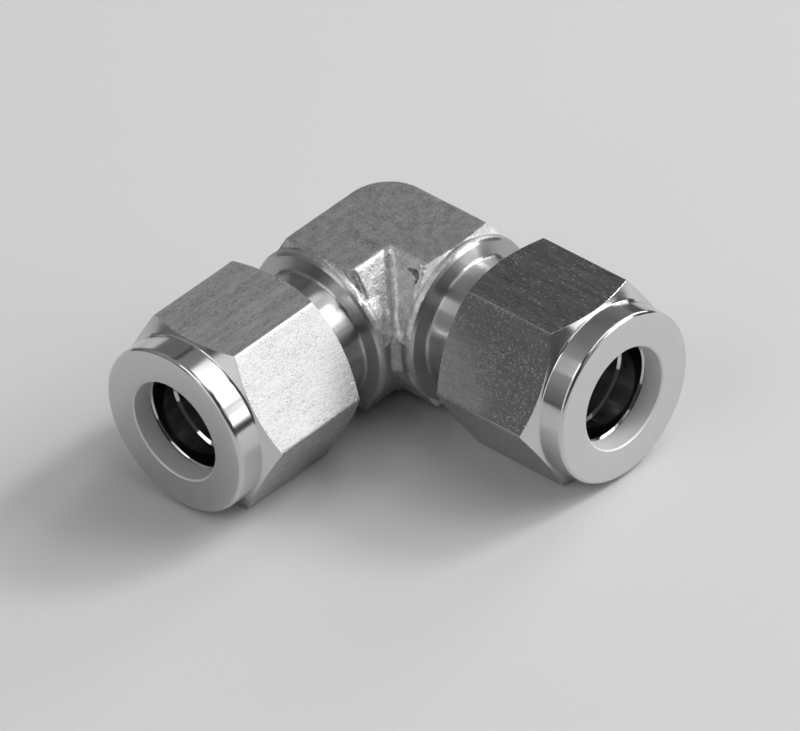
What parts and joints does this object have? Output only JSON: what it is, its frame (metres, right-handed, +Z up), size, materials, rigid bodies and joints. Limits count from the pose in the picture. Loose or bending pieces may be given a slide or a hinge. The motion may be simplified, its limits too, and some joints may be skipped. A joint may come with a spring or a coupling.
{
  "type": "union elbow",
  "caption": "Right-angle compression union for tube: forged elbow body with flat wrench pads, hexagonal nuts and ferrules screwed on its legs, and a bored flow passage.",
  "frame": {"origin": "middle of the part's outline in plan, on the surface that it stands on, which is the plane of both nuts' lower flats", "axes": "+X and +Y run out along the two legs, the way a tube leaves; +Z is up, square to both legs"},
  "size_m": [0.0496, 0.0496, 0.0222],
  "materials": {
    "body_steel": "stainless steel, fine matt forged block with turned collars and thread",
    "nut_steel": "stainless steel, machined, drawn flats and turned faces",
    "ferrule_steel": "stainless steel, turned bright"
  },
  "bodies": {
    "elbow": {"elbow_body": "body_steel"},
    "ferrules_x": {"front_ferrule_x": "ferrule_steel", "back_ferrule_x": "ferrule_steel"},
    "ferrules_y": {"front_ferrule_y": "ferrule_steel", "back_ferrule_y": "ferrule_steel"},
    "nut_x": {"nut_x": "nut_steel"},
    "nut_y": {"nut_y": "nut_steel"}
  },
  "joints": [
    {"name": "ferrules_x_slide", "type": "slide", "parent": "elbow", "child": "ferrules_x", "axis": [1, 0, 0], "range_m": [0, 0.01016]},
    {"name": "nut_x_turn", "type": "hinge", "parent": "ferrules_x", "child": "nut_x", "pos_m": [0.01542, -0.01192, 0.01111], "axis": [1, 0, 0], "range_deg": [0, 2880]},
    {"name": "ferrules_y_slide", "type": "slide", "parent": "elbow", "child": "ferrules_y", "axis": [0, 1, 0], "range_m": [0, 0.01016]},
    {"name": "nut_y_turn", "type": "hinge", "parent": "ferrules_y", "child": "nut_y", "pos_m": [-0.01192, 0.01542, 0.01111], "axis": [0, 1, 0], "range_deg": [0, 2880]}
  ],
  "couplings": [
    {"joint": "ferrules_x_slide", "follows": "nut_x_turn", "m_per_rad": 0.00020213},
    {"joint": "ferrules_y_slide", "follows": "nut_y_turn", "m_per_rad": 0.00020213}
  ]
}
